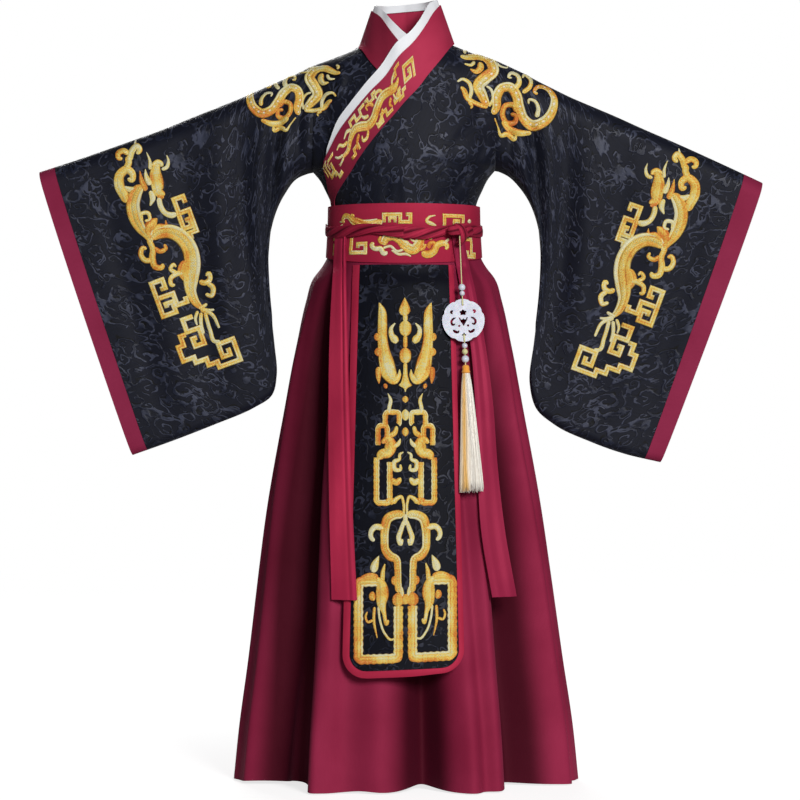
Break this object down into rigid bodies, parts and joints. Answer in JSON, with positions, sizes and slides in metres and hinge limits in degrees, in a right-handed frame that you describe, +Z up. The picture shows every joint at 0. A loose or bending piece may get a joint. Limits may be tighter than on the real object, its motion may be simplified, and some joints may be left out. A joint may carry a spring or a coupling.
{
  "type": "hanfu robe",
  "caption": "Worn-form crossed-collar robe with wide bell sleeves, flared skirt, belt with tied sash, embroidered apron panel and a hanging waist pendant.",
  "frame": {"origin": "between the shoulders at the foot of the neck, where the wearer's shoulders hold the robe", "axes": "+Z up, -Y to the robe's front, +X to the viewer's right (the wearer's left)"},
  "size_m": [1.299, 0.477, 1.3983],
  "materials": {
    "black_jacquard": "black tone-on-tone scroll jacquard, slight sheen",
    "crimson_cloth": "smooth crimson satin-backed cloth",
    "crimson_tie": "soft crimson tie cloth",
    "white_guard": "white satin with a fine diagonal weave",
    "white_jade": "polished white imitation jade",
    "straw_cord": "pale straw-green cord",
    "orange_wrap": "orange silk wrapping",
    "cream_tassel": "cream silk threads"
  },
  "bodies": {
    "root": {"bodice_back": "black_jacquard", "bodice_front_over": "black_jacquard", "bodice_front_under": "black_jacquard", "sleeve_left": "black_jacquard", "sleeve_right": "black_jacquard", "cuff_left": "crimson_cloth", "cuff_right": "crimson_cloth", "collar_band": "crimson_cloth", "collar_guard": "white_guard", "skirt_front": "crimson_cloth", "skirt_back": "crimson_cloth", "belt": "crimson_cloth", "sash_wrap": "crimson_tie", "sash_knot": "crimson_tie", "ribbon_left": "crimson_tie", "ribbon_right": "crimson_tie", "apron_panel": "black_jacquard", "apron_border": "crimson_cloth", "pendant_disc": "white_jade", "pendant_cord_upper": "straw_cord", "pendant_cord_lower": "straw_cord", "bead_1": "white_jade", "bead_2": "white_jade", "bead_3": "white_jade", "bead_4": "straw_cord", "bead_5": "white_jade", "tassel_cap": "orange_wrap", "tassel": "cream_tassel"}
  },
  "joints": []
}
